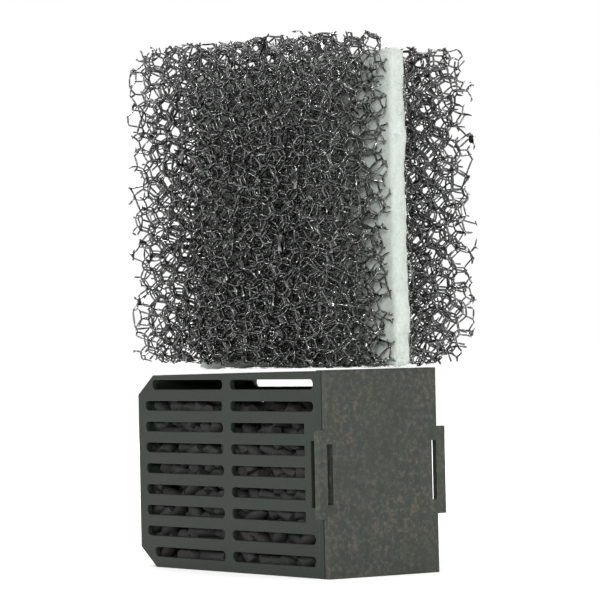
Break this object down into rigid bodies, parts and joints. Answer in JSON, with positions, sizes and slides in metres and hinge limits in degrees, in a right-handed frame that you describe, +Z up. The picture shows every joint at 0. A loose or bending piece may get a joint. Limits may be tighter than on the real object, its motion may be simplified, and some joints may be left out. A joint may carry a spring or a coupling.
{
  "type": "sponge filter cartridge",
  "caption": "Slotted carbon cage with a clip-on end cap, carrying two coarse foam slabs with a white floss pad between them.",
  "frame": {"origin": "middle of the carbon cage's underside, where the part stands", "axes": "+X towards the end cap, -Y is the front grille, +Z up through the foam sandwich"},
  "size_m": [0.103, 0.0566, 0.1568],
  "materials": {
    "cage_plastic": "satin",
    "cap_plastic": "satin",
    "carbon": "matte",
    "foam": "satin",
    "floss": "matte"
  },
  "bodies": {
    "cage": {"cage_body": "cage_plastic", "carbon_pellets": "carbon"},
    "end_cap": {"end_cap": "cap_plastic", "snap_arm_front": "cap_plastic", "snap_arm_back": "cap_plastic"},
    "foam_front": {"foam_front": "foam"},
    "floss": {"floss_pad": "floss"},
    "foam_back": {"foam_back": "foam"}
  },
  "joints": [
    {"name": "end_cap_pull", "type": "slide", "parent": "cage", "child": "end_cap", "axis": [1, 0, 0], "range_m": [0, 0.06], "deforming": ["snap_arm_front", "snap_arm_back"]},
    {"name": "foam_front_lift", "type": "slide", "parent": "cage", "child": "foam_front", "axis": [0, 0, 1], "range_m": [0, 0.11]},
    {"name": "floss_lift", "type": "slide", "parent": "cage", "child": "floss", "axis": [0, 0, 1], "range_m": [0, 0.11]},
    {"name": "foam_back_lift", "type": "slide", "parent": "cage", "child": "foam_back", "axis": [0, 0, 1], "range_m": [0, 0.11]}
  ]
}
